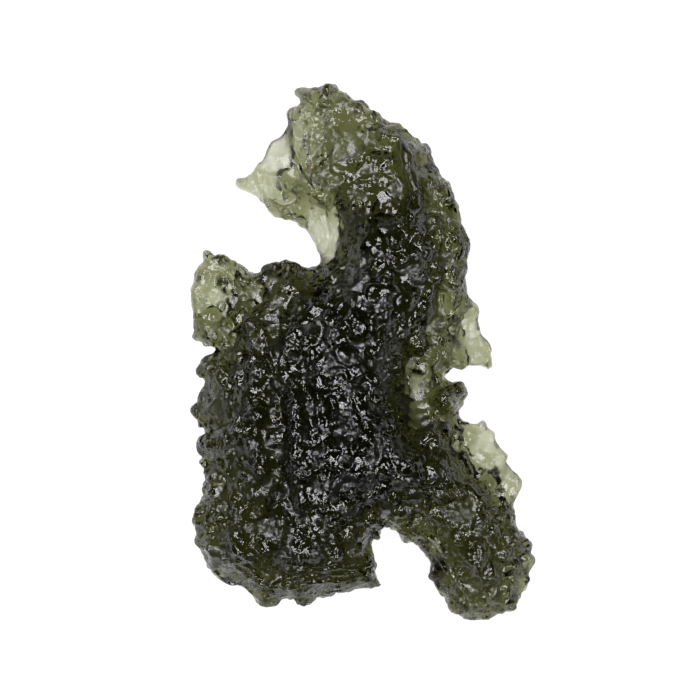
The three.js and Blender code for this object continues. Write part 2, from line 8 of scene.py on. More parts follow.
import bpy
import numpy as np
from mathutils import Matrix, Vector


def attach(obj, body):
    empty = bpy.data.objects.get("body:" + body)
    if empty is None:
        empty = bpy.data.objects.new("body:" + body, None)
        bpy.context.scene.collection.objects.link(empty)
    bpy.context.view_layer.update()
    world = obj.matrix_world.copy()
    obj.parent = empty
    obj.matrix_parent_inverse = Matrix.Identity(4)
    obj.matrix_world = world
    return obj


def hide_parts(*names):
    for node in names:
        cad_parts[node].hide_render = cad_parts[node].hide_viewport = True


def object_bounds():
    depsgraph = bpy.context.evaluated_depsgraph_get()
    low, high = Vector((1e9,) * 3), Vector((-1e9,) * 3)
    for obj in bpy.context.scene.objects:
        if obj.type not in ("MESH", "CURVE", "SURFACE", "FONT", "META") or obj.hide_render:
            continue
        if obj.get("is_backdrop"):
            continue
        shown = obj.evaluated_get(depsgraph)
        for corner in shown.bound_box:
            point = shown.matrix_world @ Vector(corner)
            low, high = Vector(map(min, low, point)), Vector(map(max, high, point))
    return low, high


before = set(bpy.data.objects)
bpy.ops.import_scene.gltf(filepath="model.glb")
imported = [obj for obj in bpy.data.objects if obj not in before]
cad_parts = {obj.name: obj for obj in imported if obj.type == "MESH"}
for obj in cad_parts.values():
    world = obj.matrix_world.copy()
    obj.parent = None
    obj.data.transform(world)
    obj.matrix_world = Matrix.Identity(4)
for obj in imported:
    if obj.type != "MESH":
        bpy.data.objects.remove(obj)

Array = np.ndarray
Point = tuple[float, float]
Range = tuple[float, float]
Colour = tuple[float, float, float]

MM = 0.001

# How sharply bowls meet, and the smallest bowl's share of the largest.
BLEND_POWER = 4
SMALLEST_BOWL = 0.6

# Ends of smooth steps: the first in the upward part of the skin's normal, the others in its size.
UPWARD: Range = (-0.1, 0.3)
OFF_THE_WALL: Range = (0.05, 0.6)
FLANK_STARTS: Range = (0.1, 0.4)
FLANK_ENDS: Range = (0.65, 0.95)
OFF_THE_STEEP: Range = (0.25, 0.85)

log = logging.getLogger("moldavite")


class SkinShare(Enum):
    """A number that each vertex of the skin carries for the glass, by the name of its attribute."""

    ETCH = "etch"
    FROST = "frost"


def smooth_step(value: Array, low: float, high: float) -> Array:
    """Rises from 0 at low to 1 at high by the cubic 3t^2 - 2t^3.

    Args:
        value: The numbers to step.
        low: Where the rise starts.
        high: Where it ends.

    Returns:
        One number from 0 to 1 for each value.
    """
    t = np.clip((value - low) / (high - low), 0.0, 1.0)
    return t * t * (3.0 - 2.0 * t)


def cell_random(cells: Array, seed: int, channel: int) -> Array:
    """Repeatable random numbers for lattice cells, by mixing the bits of the whole coordinates.

    Args:
        cells: Whole coordinates, three to a row.
        seed: Chooses the pattern.
        channel: Tells several numbers of one cell apart.

    Returns:
        One number from 0 to 1 for each row.
    """
    c = cells.astype(np.int64).astype(np.uint64)
    mixed = c[:, 0] * np.uint64(73856093) ^ c[:, 1] * np.uint64(19349663) ^ c[:, 2] * np.uint64(83492791)
    mixed ^= np.uint64(seed * 2654435761 + channel * 40503)
    mixed ^= mixed >> np.uint64(31)
    mixed *= np.uint64(0x7FB5D329728EA185)
    mixed ^= mixed >> np.uint64(27)
    mixed *= np.uint64(0x81DADEF4BC2DD44D)
    mixed ^= mixed >> np.uint64(33)
    return (mixed >> np.uint64(11)).astype(float) / float(1 << 53)


def soft_noise(points: Array, pitch: float, seed: int) -> Array:
    """Smooth noise: random values on a cubic lattice, blended with the cubic step along each axis.

    Args:
        points: Places in millimetres, three to a row.
        pitch: Lattice spacing in millimetres.
        seed: Chooses the pattern.

    Returns:
        One number from -1 to 1 for each place.
    """
    grid = points / pitch
    base = np.floor(grid)
    share = grid - base
    share = share * share * (3.0 - 2.0 * share)
    total = np.zeros(len(points))
    for corner in np.ndindex(2, 2, 2):
        weight = np.prod(np.where(corner, share, 1.0 - share), axis=1)
        total += weight * cell_random(base + corner, seed, 0)
    return 2.0 * total - 1.0


@dataclass(frozen=True)
class Waver:
    """Soft noise of one size.

    Attributes:
        size: Its largest value.
        pitch: Its lattice spacing, mm.
        seed: Chooses the pattern.
    """

    size: float
    pitch: float
    seed: int

    def at(self, points: Array) -> Array:
        """The noise at each place."""
        return self.size * soft_noise(points, self.pitch, self.seed)


def vertex_normals(points: Array, faces: Array) -> Array:
    """Area-weighted mean of the normals of the triangles round each vertex.

    Args:
        points: Vertex places.
        faces: Vertex numbers, three to a triangle.

    Returns:
        Unit normals, one for each vertex.
    """
    a, b, c = (points[faces[:, k]] for k in range(3))
    across = np.cross(b - a, c - a)
    total = np.zeros_like(points)
    for k in range(3):
        for axis in range(3):
            total[:, axis] += np.bincount(faces[:, k], across[:, axis], len(points))
    return total / np.maximum(np.linalg.norm(total, axis=1, keepdims=True), 1e-12)


def split_triangles(points: Array, faces: Array, bulge: float) -> tuple[Array, Array]:
    """Cuts every triangle into four, and bows the new vertices out to follow the vertex normals.

    Each new vertex is the middle of an edge, moved by the bulge times the mean of its offsets from the planes
    through the edge's two ends square to their normals.

    Args:
        points: Vertex places.
        faces: Vertex numbers, three to a triangle.
        bulge: 0 leaves the triangles flat, 1 puts the new vertices in the mean plane.

    Returns:
        The new places and the new triangles.
    """
    normals = vertex_normals(points, faces)
    ends = np.sort(faces[:, [[0, 1], [1, 2], [2, 0]]].reshape(-1, 2), axis=1)
    keys, back = np.unique(ends[:, 0].astype(np.int64) * len(points) + ends[:, 1], return_inverse=True)
    first, second = keys // len(points), keys % len(points)
    middle = (points[first] + points[second]) / 2.0
    lift = np.zeros_like(middle)
    for end in (first, second):
        offset = np.sum((middle - points[end]) * normals[end], axis=1, keepdims=True)
        lift -= 0.5 * offset * normals[end]
    added = middle + bulge * lift
    m = back.reshape(-1, 3) + len(points)
    a, b, c = faces.T
    ab, bc, ca = m.T
    parts = [(a, ab, ca), (ab, b, bc), (ca, bc, c), (ab, bc, ca)]
    return np.vstack([points, added]), np.vstack([np.stack(part, axis=1) for part in parts])


def path_distance(points: Array, path: tuple[Point, ...]) -> tuple[Array, Array]:
    """Level distance to a path, and the same with a sign that says on which side.

    Args:
        points: Places in millimetres.
        path: The path's corners, mm.

    Returns:
        The distance and the signed distance of each place.
    """
    nearest = np.full(len(points), np.inf)
    signed = np.zeros(len(points))
    for start, end in zip(path, path[1:]):
        way = np.subtract(end, start)
        offset = points[:, :2] - start
        along = np.clip(offset @ way / (way @ way), 0.0, 1.0)
        gap = offset - along[:, None] * way
        distance = np.hypot(gap[:, 0], gap[:, 1])
        side = np.sign(way[0] * offset[:, 1] - way[1] * offset[:, 0])
        closer = distance < nearest
        nearest = np.where(closer, distance, nearest)
        signed = np.where(closer, side * distance, signed)
    return nearest, signed


@dataclass(frozen=True)
class FlowStretch:
    """A stretch of the face where the etching ran one way.

    Attributes:
        at: Its middle, mm.
        degrees: The way, anticlockwise from +X.
    """

    at: Point
    degrees: float


@dataclass(frozen=True)
class Pane:
    """A smooth window in the sculpture.

    Attributes:
        name: What it is.
        at: Its middle, mm.
        radii: Half width and half length, mm.
        calm: Share of the etching that it lacks.
        frost: How frosted it is.
    """

    name: str
    at: Point
    radii: Point
    calm: float
    frost: float = 0.6

    def cover(self, points: Array) -> Array:
        """1 in the window, falling to 0 outside: exp(-r^4) of the elliptical radius r."""
        r2 = sum(((points[:, k] - self.at[k]) / self.radii[k]) ** 2 for k in range(2))
        return np.exp(-r2 * r2)


@dataclass(frozen=True)
class BowlLayer:
    """Scattered bowls, or grains, of one size.

    Attributes:
        name: What they are.
        pitch: Side of the cubes that hold one bowl each, mm.
        radius: Largest radius, mm.
        depth: Largest depth, mm. Below zero the bowls are raised grains.
        stretch: How much longer they are along the flow than across it.
        seed: Chooses the pattern.
        turn: How far the cubes' grid is turned about Z, degrees.
    """

    name: str
    pitch: float
    radius: float
    depth: float
    stretch: float
    seed: int
    turn: float

    def turned(self, vectors: Array) -> Array:
        """Turns vectors into the cubes' own grid: about Z, and then about X by half as much.

        Args:
            vectors: Places or directions, three to a row.

        Returns:
            The same vectors along the grid's axes.
        """
        z, x = math.radians(self.turn), math.radians(self.turn / 2.0)
        about_z = [[math.cos(z), -math.sin(z), 0.0], [math.sin(z), math.cos(z), 0.0], [0.0, 0.0, 1.0]]
        about_x = [[1.0, 0.0, 0.0], [0.0, math.cos(x), -math.sin(x)], [0.0, math.sin(x), math.cos(x)]]
        return vectors @ np.array(about_z) @ np.array(about_x)

    def relief(self, points: Array, flow: Array) -> Array:
        """Height of the layer: the smooth largest, (sum of b^4)^(1/4), of b = size * (1 - d^2 / r^2) over the
        nearby bowls, where b is not below 0, times the depth.

        Args:
            points: Places in millimetres.
            flow: Unit vectors of the flow there.

        Returns:
            One height in millimetres for each place, below zero in a bowl.
        """
        points, flow = self.turned(points), self.turned(flow)
        base = np.floor(points / self.pitch)
        powers = np.zeros(len(points))
        for step in np.ndindex(3, 3, 3):
            cell = base + np.array(step) - 1.0
            jitter = np.stack([cell_random(cell, self.seed, k) for k in range(3)], axis=1)
            offset = points - (cell + jitter) * self.pitch
            size = SMALLEST_BOWL + (1.0 - SMALLEST_BOWL) * cell_random(cell, self.seed, 3)
            along = np.sum(offset * flow, axis=1)
            squared = np.sum(offset * offset, axis=1) - along * along * (1.0 - self.stretch ** -2)
            bowl = size * (1.0 - squared / (self.radius * size) ** 2)
            powers += np.maximum(bowl, 0.0) ** BLEND_POWER
        return -self.depth * powers ** (1.0 / BLEND_POWER)


@dataclass(frozen=True)
class FlowBand:
    """A band of fine parallel grooves that follow a path.

    Attributes:
        name: What it is.
        path: Points along its middle, mm.
        half_width: How far it reaches from the path, mm.
        spacing: From groove to groove, mm.
        depth: Depth of the grooves, mm.
        core: Share of the half width that the grooves fill evenly.
        bends: How far the grooves wander, mm.
    """

    name: str
    path: tuple[Point, ...]
    half_width: float
    spacing: float
    depth: float
    core: float = 0.6
    bends: tuple[Waver, ...] = (Waver(0.35, 1.6, 71), Waver(0.12, 0.5, 72))

    def cover(self, points: Array) -> Array:
        """1 along the path, falling to 0 at the band's edges."""
        distance, _ = path_distance(points, self.path)
        return 1.0 - smooth_step(distance, self.core * self.half_width, self.half_width)

    def relief(self, points: Array) -> Array:
        """Height of the grooves: -depth * (1 - |sin|) across the path, bent by noise."""
        _, signed = path_distance(points, self.path)
        bend = sum(waver.at(points) for waver in self.bends)
        wave = np.abs(np.sin(math.pi * (signed + bend) / self.spacing))
        return -self.depth * self.cover(points) * (1.0 - wave)


@dataclass(frozen=True)
class Crest:
    """A thin ridge, or a thin cleft.

    Attributes:
        name: What it is.
        path: Points along it, mm.
        half_width: Its half width, mm.
        height: Its height, mm. Below zero it is a cleft.
        bend: How far it wanders, in half widths.
    """

    name: str
    path: tuple[Point, ...]
    half_width: float
    height: float
    bend: Waver = Waver(0.3, 0.9, 91)

    def relief(self, points: Array) -> Array:
        """Height exp(-d^2 / w^2) at distance d, in a line that noise bends."""
        distance, _ = path_distance(points, self.path)
        bent = distance + self.half_width * self.bend.at(points)
        return self.height * np.exp(-((bent / self.half_width) ** 2))


@dataclass(frozen=True)
class Cup:
    """An opened gas bubble: a round cup with a raised lip.

    Attributes:
        at: Its middle, mm.
        radius: Its radius, mm.
        depth: Its depth, mm.
        lip_height: Height of its lip, as a share of the depth.
        lip_radius: Radius of the lip, in radii of the cup.
        lip_width: Half width of the lip, in radii of the cup.
    """

    at: Point
    radius: float
    depth: float
    lip_height: float = 0.35
    lip_radius: float = 1.15
    lip_width: float = 0.25

    def relief(self, points: Array) -> Array:
        """Height -depth * (1 - r^2) inside the radius, plus the lip, exp(-d^2 / w^2) at d from its ring."""
        r = np.hypot(points[:, 0] - self.at[0], points[:, 1] - self.at[1]) / self.radius
        lip = self.lip_height * np.exp(-(((r - self.lip_radius) / self.lip_width) ** 2))
        return self.depth * (lip - np.maximum(1.0 - r * r, 0.0))


def cup_row(start: Point, end: Point, count: int, radius: float, depth: float) -> tuple[Cup, ...]:
    """Equal cups in a row.

    Args:
        start: Middle of the first cup, mm.
        end: Middle of the last cup, mm.
        count: How many.
        radius: Their radius, mm.
        depth: Their depth, mm.

    Returns:
        The cups.
    """
    shares = [k / (count - 1) for k in range(count)]
    return tuple(
        Cup((start[0] + t * (end[0] - start[0]), start[1] + t * (end[1] - start[1])), radius, depth)
        for t in shares
    )


@dataclass(frozen=True)
class Ground:
    """What the sculpture depends on, for each vertex.

    Attributes:
        upper: 1 on the upper face, 0 on the lower.
        facing: 1 where the skin lies level, 0 on a wall.
        thickness: Thickness of the glass, mm.
        held: Share of the relief that the thickness allows.
        calm: Share of the etching that the panes lack.
        misted: How frosted the panes are.
    """

    upper: Array
    facing: Array
    thickness: Array
    held: Array
    calm: Array
    misted: Array


@dataclass
class Stone:
    """The moldavite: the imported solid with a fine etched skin.

    Attributes:
        node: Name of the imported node.
        rounds: How often its triangles are split.
        bulge: How far new vertices bow out.
        thin: Glass thinner than this keeps little of the fine etching, mm.
        full: Glass thicker than this has all of it, mm.
        column: Side of the square columns in which the thickness is measured, mm.
        sink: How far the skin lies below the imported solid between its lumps, mm.
        thin_share: Share of the relief that the thinnest glass keeps.
        wall_share: Share of the relief that a wall keeps.
        flank_gain: How much more of it a slanted flank has.
        band_hold: Share of the lumps that a streaked band lacks.
        lift: Heights between which the relief grows from nothing, mm.
        pane_grain: Share of the grain that a calm pane lacks.
        bare_grain: Share of the grain that is left between its patches.
        bare_frost: Share of the frost that is left between the patches.
        frost_fades: Thicknesses between which the frost ends, mm.
        patches: The noise that sets the patches of grain.
        patch_edge: Values of the noise at the edge of a patch.
    """

    node: str = "moldavite"
    rounds: int = 2
    bulge: float = 0.8
    thin: float = 0.7
    full: float = 2.6
    column: float = 0.6
    sink: float = 0.16
    thin_share: float = 0.45
    wall_share: float = 0.8
    flank_gain: float = 0.2
    band_hold: float = 0.85
    lift: Range = (0.02, 0.5)
    pane_grain: float = 0.6
    bare_grain: float = 0.35
    bare_frost: float = 0.4
    frost_fades: Range = (1.2, 3.8)
    patches: tuple[Waver, ...] = (Waver(1.0, 1.2, 33), Waver(0.5, 0.5, 34))
    patch_edge: Range = (-0.35, 0.3)

    layers: tuple[BowlLayer, ...] = (
        BowlLayer("lumps", 1.15, 0.76, -0.4, 1.1, 5, 34.0),
        BowlLayer("pits", 0.8, 0.36, 0.1, 1.1, 8, 61.0),
        BowlLayer("knobs", 0.55, 0.33, -0.15, 1.0, 9, 17.0),
    )
    flow: tuple[FlowStretch, ...] = (
        FlowStretch((5.0, 8.0), 95.0),
        FlowStretch((-1.0, 11.0), 60.0),
        FlowStretch((-5.5, 12.0), 75.0),
        FlowStretch((-8.0, 3.0), 110.0),
        FlowStretch((-5.0, -4.5), 92.0),
        FlowStretch((1.0, -3.5), -48.0),
        FlowStretch((5.0, -13.5), -62.0),
        FlowStretch((8.0, -7.0), -50.0),
        FlowStretch((-5.0, -14.0), -20.0),
        FlowStretch((-2.0, -10.0), 80.0),
    )
    panes: tuple[Pane, ...] = (
        Pane("white scoop by the notch", (-2.3, 7.5), (1.4, 2.0), 0.6),
        Pane("upper pane", (-0.9, 13.0), (1.3, 1.2), 0.85),
        Pane("dome", (0.6, 10.2), (3.1, 4.2), 0.72, 0.0),
        Pane("saddle", (0.2, 2.9), (3.2, 1.5), 0.5, 0.0),
        Pane("throat", (-4.2, 3.4), (1.3, 1.6), 0.5, 0.0),
        Pane("fin face", (-5.0, 12.9), (1.3, 2.2), 0.8),
        Pane("left pane", (-5.5, 2.9), (0.7, 2.0), 0.9),
        Pane("triangle pane", (-5.3, 0.2), (0.7, 0.8), 0.95),
        Pane("olive pane", (3.2, -2.8), (0.8, 1.9), 0.9),
        Pane("right pane", (4.3, 2.4), (0.6, 0.8), 0.85),
        Pane("horn face", (6.6, 0.4), (1.2, 1.0), 0.85),
        Pane("lobe sheet", (7.8, -5.4), (1.0, 1.2), 0.9),
        Pane("oval pane", (-6.6, -8.8), (0.6, 1.0), 0.8, 0.3),
        Pane("lower pane", (-6.1, -10.9), (0.7, 1.1), 0.35, 0.1),
        Pane("left dip", (-8.7, -3.5), (1.0, 0.7), 0.85),
        Pane("heel sheet", (-8.1, -14.0), (0.9, 0.5), 0.95),
        Pane("leg pane", (6.4, -10.1), (0.8, 0.7), 0.8),
    )
    bands: tuple[FlowBand, ...] = (
        FlowBand("leg band", ((2.6, -11.2), (3.9, -12.2), (4.9, -13.8), (6.1, -16.0)), 1.1, 0.3, 0.2),
        FlowBand("bottom band", ((-7.8, -13.6), (-5.6, -14.6), (-3.2, -14.2), (0.6, -13.6)), 1.3, 0.36, 0.15),
        FlowBand("right rim", ((4.2, 12.0), (5.3, 9.4), (6.0, 6.6), (5.8, 4.2)), 0.95, 0.3, 0.13),
        FlowBand("belly streaks", ((-4.8, -2.6), (-4.5, -5.4)), 0.6, 0.32, 0.16),
        FlowBand("left lobe rim", ((-10.1, 4.9), (-10.3, 3.2), (-10.1, 1.4)), 0.6, 0.22, 0.08),
    )

    crests: tuple[Crest, ...] = (
        Crest(
            "crescent",
            ((1.3, 13.4), (2.3, 13.0), (2.7, 11.8), (3.1, 10.2), (3.2, 9.0), (2.9, 8.2)),
            0.34,
            0.32,
        ),
        Crest("horn ledge", ((-6.4, 11.0), (-5.1, 10.9), (-4.4, 10.2), (-3.0, 9.85), (-2.3, 9.4)), 0.2, 0.2),
        Crest("horn fold", ((-6.4, 10.6), (-5.9, 9.6), (-4.9, 8.7), (-3.6, 8.2)), 0.15, 0.35),
        Crest("horn cleft", ((-5.8, 9.6), (-4.8, 9.3), (-4.2, 9.6)), 0.14, -0.35),
        Crest("fin fold", ((-4.3, 14.2), (-4.2, 12.6), (-3.6, 11.2), (-2.9, 10.2)), 0.2, 0.25),
        Crest("scoop edge", ((-3.1, 8.7), (-3.3, 7.7)), 0.13, -0.3),
        Crest("scoop fold", ((-2.1, 9.0), (-1.9, 7.6), (-2.0, 6.3)), 0.16, 0.3),
        Crest("lip of the scoop", ((-1.3, 9.2), (-0.8, 7.6), (-1.4, 5.9)), 0.2, 0.22),
        Crest("scoop strand", ((-2.9, 8.6), (-2.5, 7.6), (-2.7, 6.6)), 0.18, 0.2),
        Crest("first stroke", ((-4.95, -2.9), (-4.8, -4.2)), 0.11, 0.16),
        Crest("second stroke", ((-4.5, -3.1), (-4.4, -4.0), (-4.3, -5.0)), 0.11, 0.16),
        Crest("third stroke", ((-5.4, -9.4), (-5.2, -10.7)), 0.12, 0.16),
        Crest("side of the triangle", ((-6.1, 1.1), (-5.3, -1.0)), 0.16, 0.14),
        Crest("other side of the triangle", ((-4.4, 1.1), (-5.2, -1.0)), 0.16, 0.14),
        Crest("first slanted ridge", ((-0.2, -2.4), (0.9, -3.8)), 0.14, 0.16),
        Crest("second slanted ridge", ((0.5, -2.3), (1.9, -4.1)), 0.14, 0.16),
        Crest("third slanted ridge", ((0.6, -4.4), (1.6, -5.7)), 0.14, 0.16),
        Crest("ring of the oval", ((-6.9, -7.7), (-7.25, -8.6), (-7.1, -9.5), (-6.7, -10.0)), 0.16, 0.18),
        Crest("arc of the heel", ((-9.6, -10.4), (-8.4, -10.1), (-7.5, -10.8), (-7.0, -12.0)), 0.22, 0.2),
        Crest("heel cleft", ((-9.0, -11.6), (-8.2, -11.1), (-7.2, -11.4), (-6.9, -12.0)), 0.16, -0.24),
        Crest("side cleft", ((4.9, 3.5), (5.0, 2.2), (4.3, 1.7), (4.1, 0.2)), 0.2, -0.25),
        Crest("side branch", ((5.0, 1.3), (5.8, 1.7), (6.4, 1.95)), 0.14, -0.18),
        Crest("lobe cleft", ((6.7, -6.2), (7.1, -7.7)), 0.2, -0.2),
        Crest("lobe ridge", ((6.6, -8.0), (7.4, -9.3)), 0.2, 0.22),
    )
    cups: tuple[Cup, ...] = (
        Cup((-6.65, -12.55), 0.24, 0.2),
        Cup((-6.8, -12.05), 0.2, 0.16),
        Cup((-6.15, -13.5), 0.22, 0.18),
        Cup((-5.5, -12.8), 0.2, 0.14),
        Cup((-7.0, -10.6), 0.18, 0.14),
        Cup((-6.3, -11.4), 0.26, 0.16),
        Cup((4.45, -10.9), 0.28, 0.2),
        Cup((4.5, 0.3), 0.26, 0.18),
        *cup_row((-2.2, 13.1), (-1.0, 13.15), 4, 0.17, 0.1),
        *cup_row((-0.8, 11.75), (0.4, 11.85), 4, 0.17, 0.1),
        *cup_row((-1.2, 10.5), (0.8, 10.55), 6, 0.17, 0.1),
        *cup_row((-1.2, 9.1), (0.3, 9.1), 5, 0.17, 0.1),
    )

    def merged_solid(self) -> tuple[Array, Array]:
        """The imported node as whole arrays, its loose triangles joined where corners agree to 0.1 micrometre.

        Returns:
            Vertex places in millimetres, and triangles.
        """
        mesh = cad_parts[self.node].data
        loose = np.empty(len(mesh.vertices) * 3, np.float32)
        mesh.vertices.foreach_get("co", loose)
        corners = np.empty(len(mesh.loops), np.int32)
        mesh.loops.foreach_get("vertex_index", corners)
        rounded = np.round(loose.reshape(-1, 3).astype(float) / MM, 4)
        points, index = np.unique(rounded, axis=0, return_inverse=True)
        return points, index.reshape(-1)[corners].reshape(-1, 3)

    def flow_at(self, points: Array) -> Array:
        """Unit vectors of the flow: twice the angle is averaged with weights 1 / (0.5 + d^2)^2, then halved.

        Args:
            points: Places in millimetres.

        Returns:
            One level unit vector for each place.
        """
        c = np.zeros(len(points))
        s = np.zeros(len(points))
        for stretch in self.flow:
            d2 = (points[:, 0] - stretch.at[0]) ** 2 + (points[:, 1] - stretch.at[1]) ** 2
            weight = (0.5 + d2) ** -2
            c += weight * math.cos(2.0 * math.radians(stretch.degrees))
            s += weight * math.sin(2.0 * math.radians(stretch.degrees))
        angle = np.arctan2(s, c) / 2.0
        return np.stack([np.cos(angle), np.sin(angle), np.zeros(len(points))], axis=1)

    def thickness_at(self, points: Array) -> Array:
        """Height from the lowest to the highest vertex in each column, blended between the filled columns.

        Args:
            points: Vertex places in millimetres.

        Returns:
            The thickness at each vertex, mm.
        """
        low = points[:, :2].min(axis=0)
        grid = (points[:, :2] - low) / self.column + 1.0
        cell = np.floor(grid).astype(int)
        shape = tuple(cell.max(axis=0) + 3)
        top = np.full(shape, -np.inf)
        bottom = np.full(shape, np.inf)
        np.maximum.at(top, (cell[:, 0], cell[:, 1]), points[:, 2])
        np.minimum.at(bottom, (cell[:, 0], cell[:, 1]), points[:, 2])
        column = np.where(np.isfinite(top), top - bottom, 0.0)
        base = np.floor(grid - 0.5).astype(int)
        share = grid - 0.5 - base
        total = np.zeros(len(points))
        filled = np.zeros(len(points))
        for dx, dy in np.ndindex(2, 2):
            weight = np.where(dx, share[:, 0], 1 - share[:, 0]) * np.where(dy, share[:, 1], 1 - share[:, 1])
            value = column[base[:, 0] + dx, base[:, 1] + dy]
            total += weight * value
            filled += weight * (value > 0.0)
        return total / np.maximum(filled, 1e-6)

    def ground(self, points: Array, normals: Array) -> Ground:
        """Works out what the sculpture depends on.

        Args:
            points: Vertex places in millimetres.
            normals: Unit normals.

        Returns:
            The face, the slope, the thickness and the panes at each vertex.
        """
        upper = smooth_step(normals[:, 2], *UPWARD)
        thickness = self.thickness_at(points)
        held = self.thin_share + (1.0 - self.thin_share) * smooth_step(thickness, self.thin, self.full)
        calm = np.zeros(len(points))
        misted = np.zeros(len(points))
        for pane in self.panes:
            cover = pane.cover(points)
            calm = np.maximum(calm, pane.calm * cover)
            misted = np.maximum(misted, pane.frost * cover)
        return Ground(upper, np.abs(normals[:, 2]), thickness, held, calm, misted)

    def relief(self, points: Array, ground: Ground) -> Array:
        """Height of the fine sculpture along the normal: bowls, grains, grooves, crests and cups.

        It is held back where it would eat through thin glass, change the outline or roughen a pane, and it
        ends where the stone rests.

        Args:
            points: Vertex places in millimetres.
            ground: What the sculpture depends on.

        Returns:
            The height in millimetres for each vertex.
        """
        flow = self.flow_at(points)
        upper = ground.upper
        height = np.full(len(points), -self.sink)
        for layer in self.layers:
            height += layer.relief(points, flow)
        height *= 1.0 - upper * ground.calm
        for band in self.bands:
            lumps_left = 1.0 - self.band_hold * upper * band.cover(points)
            height = height * lumps_left + upper * band.relief(points)
        for mark in (*self.crests, *self.cups):
            height += upper * mark.relief(points)
        off_the_wall = smooth_step(ground.facing, *OFF_THE_WALL)
        flank = smooth_step(ground.facing, *FLANK_STARTS) * (1.0 - smooth_step(ground.facing, *FLANK_ENDS))
        outline = self.wall_share + (1.0 - self.wall_share) * off_the_wall + self.flank_gain * flank
        return height * ground.held * outline * smooth_step(points[:, 2], *self.lift)

    def skin_shares(self, points: Array, ground: Ground) -> tuple[Array, Array]:
        """How grained and how frosted the skin is.

        The grain comes in patches, is weak on panes and thin glass, and twice as strong on steep faces. Thin
        glass and panes are frosted.

        Args:
            points: Vertex places in millimetres.
            ground: What the sculpture depends on.

        Returns:
            The share of the grain and the share of the frost for each vertex.
        """
        patch = smooth_step(sum(waver.at(points) for waver in self.patches), *self.patch_edge)
        open_share = 1.0 - self.pane_grain * ground.upper * ground.calm
        grained = open_share * (self.bare_grain + (1.0 - self.bare_grain) * patch)
        steep = 1.0 - smooth_step(ground.facing, *OFF_THE_STEEP)
        etch = grained * (1.0 + ground.held) / 2.0 * (1.0 + steep)
        thin_frost = 1.0 - smooth_step(ground.thickness, *self.frost_fades)
        patchy = self.bare_frost + (1.0 - self.bare_frost) * patch
        return etch, np.maximum(ground.upper * ground.misted, patchy * thin_frost)

    def mesh_arrays(self) -> tuple[Array, Array, Array, Array]:
        """The finished surface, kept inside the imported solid's own box.

        Returns:
            Vertex places in millimetres, triangles, and the etching and the frost at each vertex.
        """
        points, faces = self.merged_solid()
        low, high = points.min(axis=0), points.max(axis=0)
        for _ in range(self.rounds):
            points, faces = split_triangles(points, faces, self.bulge)
        normals = vertex_normals(points, faces)
        ground = self.ground(points, normals)
        height = self.relief(points, ground)
        etch, frost = self.skin_shares(points, ground)
        return np.clip(points + height[:, None] * normals, low, high), faces, etch, frost

    def build(self, finish: "GlassFinish") -> bpy.types.Object:
        """Makes the stone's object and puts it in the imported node's place.

        Args:
            finish: The glass.

        Returns:
            The new object.
        """
        points, faces, etch, frost = self.mesh_arrays()
        mesh = bpy.data.meshes.new("moldavite_skin")
        mesh.from_pydata(points * MM, [], faces)
        mesh.polygons.foreach_set("use_smooth", np.ones(len(faces), bool))
        for share, values in ((SkinShare.ETCH, etch), (SkinShare.FROST, frost)):
            attribute = mesh.attributes.new(share.value, "FLOAT", "POINT")
            attribute.data.foreach_set("value", values.astype(np.float32))
        mesh.update()
        mesh.materials.append(finish.material())
        piece = bpy.data.objects.new("moldavite_skin", mesh)
        bpy.context.scene.collection.objects.link(piece)
        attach(piece, "root")
        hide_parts(self.node)
        log.info("stone: %d triangles", len(faces))
        return piece


class Signal:
    """A shader value that takes part in Python arithmetic. Each operation adds one Math node."""

    def __init__(self, graph: "Graph", socket: bpy.types.NodeSocket) -> None:
        """Wraps an output socket of a graph."""
        self.graph = graph
        self.socket = socket

    def _math(self, operation: str, *values: Any) -> "Signal":
        """Adds a Math node for an operation on the given values."""
        node = self.graph.node("ShaderNodeMath", {"operation": operation}, dict(enumerate(values)))
        return Signal(self.graph, node.outputs[0])

    def __add__(self, other: Any) -> "Signal":
        """Sum."""
        return self._math("ADD", self, other)

    __radd__ = __add__

    def __sub__(self, other: Any) -> "Signal":
        """Difference."""
        return self._math("SUBTRACT", self, other)

    def __rsub__(self, other: Any) -> "Signal":
        """Difference, the other way round."""
        return self._math("SUBTRACT", other, self)

    def __mul__(self, other: Any) -> "Signal":
        """Product."""
        return self._math("MULTIPLY", self, other)

    __rmul__ = __mul__

    def __truediv__(self, other: Any) -> "Signal":
        """Quotient."""
        return self._math("DIVIDE", self, other)

    def __rtruediv__(self, other: Any) -> "Signal":
        """Quotient, the other way round."""
        return self._math("DIVIDE", other, self)

    def step(self, low: float, high: float) -> "Signal":
        """Smooth rise from 0 at low to 1 at high."""
        settings = {"interpolation_type": "SMOOTHSTEP"}
        node = self.graph.node("ShaderNodeMapRange", settings, {0: self, 1: low, 2: high, 3: 0.0, 4: 1.0})
        return Signal(self.graph, node.outputs[0])


